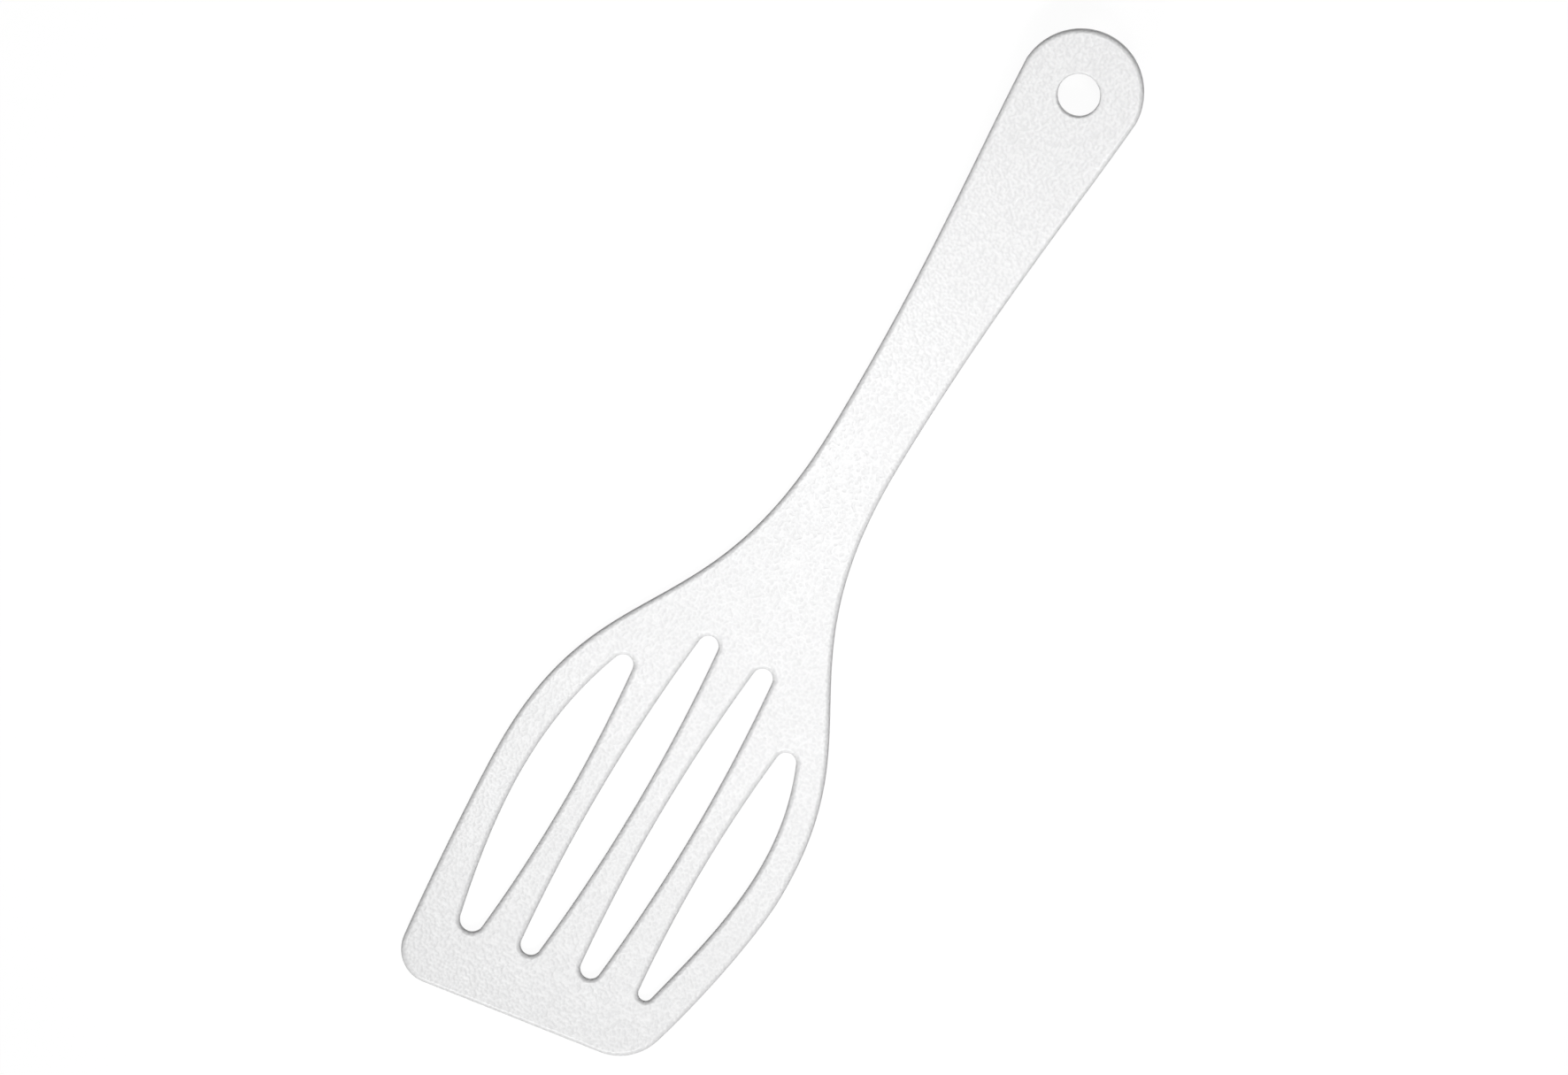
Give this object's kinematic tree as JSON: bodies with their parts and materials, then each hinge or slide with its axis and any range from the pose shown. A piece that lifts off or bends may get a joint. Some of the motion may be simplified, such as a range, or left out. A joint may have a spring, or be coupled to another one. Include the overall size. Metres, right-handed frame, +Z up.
{
  "type": "slotted kitchen spatula",
  "caption": "One-piece white plastic turner: flat flared handle with a hanging hole, narrow neck, wide slotted blade with a slanted front edge. The handle rises from the blade in a gentle curve.",
  "frame": {"origin": "centre of the bounding box, at the surface that the sole lies on", "axes": "+X along the spatula from the hanging hole to the front edge, +Y across it to the short side of the blade, +Z up out of the upper face"},
  "size_m": [0.2998, 0.083, 0.0204],
  "materials": {
    "body_plastic": "white, satin, with a fine even grain"
  },
  "bodies": {
    "root": {"spatula": "body_plastic"}
  },
  "joints": []
}
